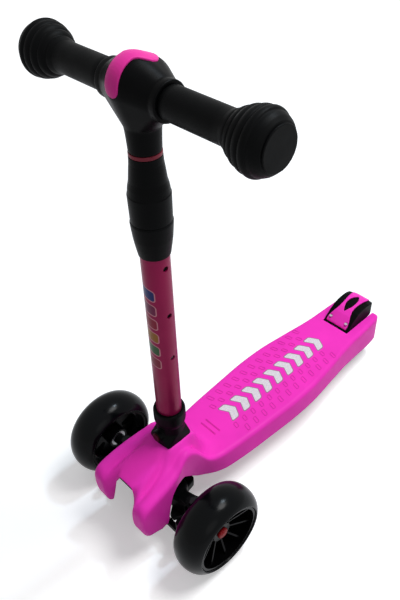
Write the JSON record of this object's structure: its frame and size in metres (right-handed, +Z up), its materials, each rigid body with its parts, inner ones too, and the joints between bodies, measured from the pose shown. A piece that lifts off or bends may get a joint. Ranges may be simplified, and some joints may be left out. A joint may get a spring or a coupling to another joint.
{
  "type": "kick scooter",
  "caption": "Child's three-wheel lean-to-steer scooter: pink deck, magenta height-adjustable stem, black T-bar with ball grips, red-capped wheels.",
  "frame": {"origin": "centre of the outline on the ground", "axes": "+Z up, -Y forward (the way it rolls), +X to the rider's left"},
  "size_m": [0.3, 0.513, 0.6072],
  "materials": {
    "deck_pink": "satin",
    "black_plastic": "satin",
    "tyre_rubber": "satin",
    "grip_rubber": "matte",
    "stem_paint": "gloss",
    "trim_pink": "satin",
    "cap_red": "gloss",
    "ring_red": "satin",
    "steel": "satin",
    "alloy": "satin",
    "nylon": "satin",
    "buffer_rubber": "matte",
    "clear_plastic": "gloss"
  },
  "bodies": {
    "deck": {"deck_shell": "deck_pink", "front_carrier": "black_plastic", "stem_socket": "black_plastic", "deck_screws": "steel", "truck_pivot_bolt": "steel", "truck_pivot_nut": "steel", "steering_pin": "steel", "return_buffers": "buffer_rubber", "rear_bracket": "steel", "rear_axle_bolt": "steel", "rear_axle_nut": "steel", "rear_axle_spacers": "steel", "brake_pivot_pin": "steel", "brake_spring": "steel"},
    "release_button": {"release_button": "cap_red"},
    "truck": {"truck_beam": "black_plastic", "truck_bushes": "nylon", "truck_bolts": "steel", "kingpin_nuts": "steel"},
    "steering_lever": {"steering_lever": "black_plastic"},
    "tie_rod": {"tie_rod": "black_plastic"},
    "left_knuckle": {"left_knuckle": "black_plastic", "left_axle_bolt": "steel", "left_kingpin_bush": "nylon"},
    "right_knuckle": {"right_knuckle": "black_plastic", "right_axle_bolt": "steel", "right_kingpin_bush": "nylon"},
    "left_wheel": {"left_tyre": "tyre_rubber", "left_rim": "black_plastic", "left_bearings": "steel", "left_bearing_spacer": "steel", "left_hub_cap": "cap_red", "left_light_ring": "clear_plastic"},
    "right_wheel": {"right_tyre": "tyre_rubber", "right_rim": "black_plastic", "right_bearings": "steel", "right_bearing_spacer": "steel", "right_hub_cap": "cap_red", "right_light_ring": "clear_plastic"},
    "rear_wheel": {"rear_tyre": "tyre_rubber", "rear_rim": "black_plastic", "rear_bearings": "steel", "rear_bearing_spacer": "steel"},
    "brake": {"brake_fender": "black_plastic", "brake_cover": "deck_pink", "brake_screws": "steel"},
    "stem": {"lower_tube": "stem_paint", "lower_sleeve": "black_plastic", "clamp_collet": "nylon"},
    "clamp_collar": {"clamp_collar": "black_plastic"},
    "handlebar": {"inner_tube": "alloy", "t_housing": "black_plastic", "housing_trim": "trim_pink", "neck_ring": "ring_red", "cross_tube": "alloy", "left_grip": "grip_rubber", "right_grip": "grip_rubber", "grip_end_caps": "grip_rubber", "housing_screw": "steel"},
    "snap_button": {"snap_button": "steel"}
  },
  "joints": [
    {"name": "truck_roll", "type": "hinge", "parent": "deck", "child": "truck", "pos_m": [0, -0.1885, 0.074], "axis": [0, 1, 0], "range_deg": [-8, 8], "stiffness_Nm_per_rad": 20, "deforming": ["return_buffers"]},
    {"name": "lever_turn", "type": "hinge", "parent": "truck", "child": "steering_lever", "pos_m": [0, -0.1885, 0.041], "axis": [0, 0, 1], "range_deg": [-11, 11]},
    {"name": "tie_rod_shift", "type": "slide", "parent": "truck", "child": "tie_rod", "axis": [1, 0, 0], "range_m": [-0.005, 0.005]},
    {"name": "left_steer", "type": "hinge", "parent": "truck", "child": "left_knuckle", "pos_m": [0.066, -0.1885, 0.06], "axis": [0, 0, 1], "range_deg": [-11, 11]},
    {"name": "right_steer", "type": "hinge", "parent": "truck", "child": "right_knuckle", "pos_m": [-0.066, -0.1885, 0.06], "axis": [0, 0, 1], "range_deg": [-11, 11]},
    {"name": "left_wheel_spin", "type": "hinge", "parent": "left_knuckle", "child": "left_wheel", "pos_m": [0.1032, -0.1885, 0.06], "axis": [1, 0, 0], "continuous": true},
    {"name": "right_wheel_spin", "type": "hinge", "parent": "right_knuckle", "child": "right_wheel", "pos_m": [-0.1032, -0.1885, 0.06], "axis": [1, 0, 0], "continuous": true},
    {"name": "rear_wheel_spin", "type": "hinge", "parent": "deck", "child": "rear_wheel", "pos_m": [0, 0.2165, 0.04], "axis": [1, 0, 0], "continuous": true},
    {"name": "brake_press", "type": "hinge", "parent": "deck", "child": "brake", "pos_m": [0, 0.1835, 0.07], "axis": [1, 0, 0], "range_deg": [-2.8, 0], "stiffness_Nm_per_rad": 6, "springref_deg": 2.86},
    {"name": "button_press", "type": "slide", "parent": "deck", "child": "release_button", "axis": [0, 1, 0], "range_m": [0, 0.003], "stiffness_N_per_m": 600, "springref_m": -0.002},
    {"name": "stem_lift", "type": "slide", "parent": "deck", "child": "stem", "axis": [0, 0, 1], "range_m": [0, 0.1]},
    {"name": "height_slide", "type": "slide", "parent": "stem", "child": "handlebar", "axis": [0, 0, 1], "range_m": [0, 0.124]},
    {"name": "clamp_twist", "type": "hinge", "parent": "stem", "child": "clamp_collar", "pos_m": [0, -0.1631, 0.48], "axis": [0, 0, 1], "range_deg": [0, 90]},
    {"name": "snap_press", "type": "slide", "parent": "handlebar", "child": "snap_button", "axis": [-1, 0, 0], "range_m": [0, 0.003], "stiffness_N_per_m": 400, "springref_m": -0.002}
  ],
  "couplings": [
    {"joint": "lever_turn", "follows": "truck_roll", "ratio": -1.375},
    {"joint": "tie_rod_shift", "follows": "truck_roll", "m_per_rad": -0.03575},
    {"joint": "left_steer", "follows": "truck_roll", "ratio": -1.375},
    {"joint": "right_steer", "follows": "truck_roll", "ratio": -1.375}
  ]
}
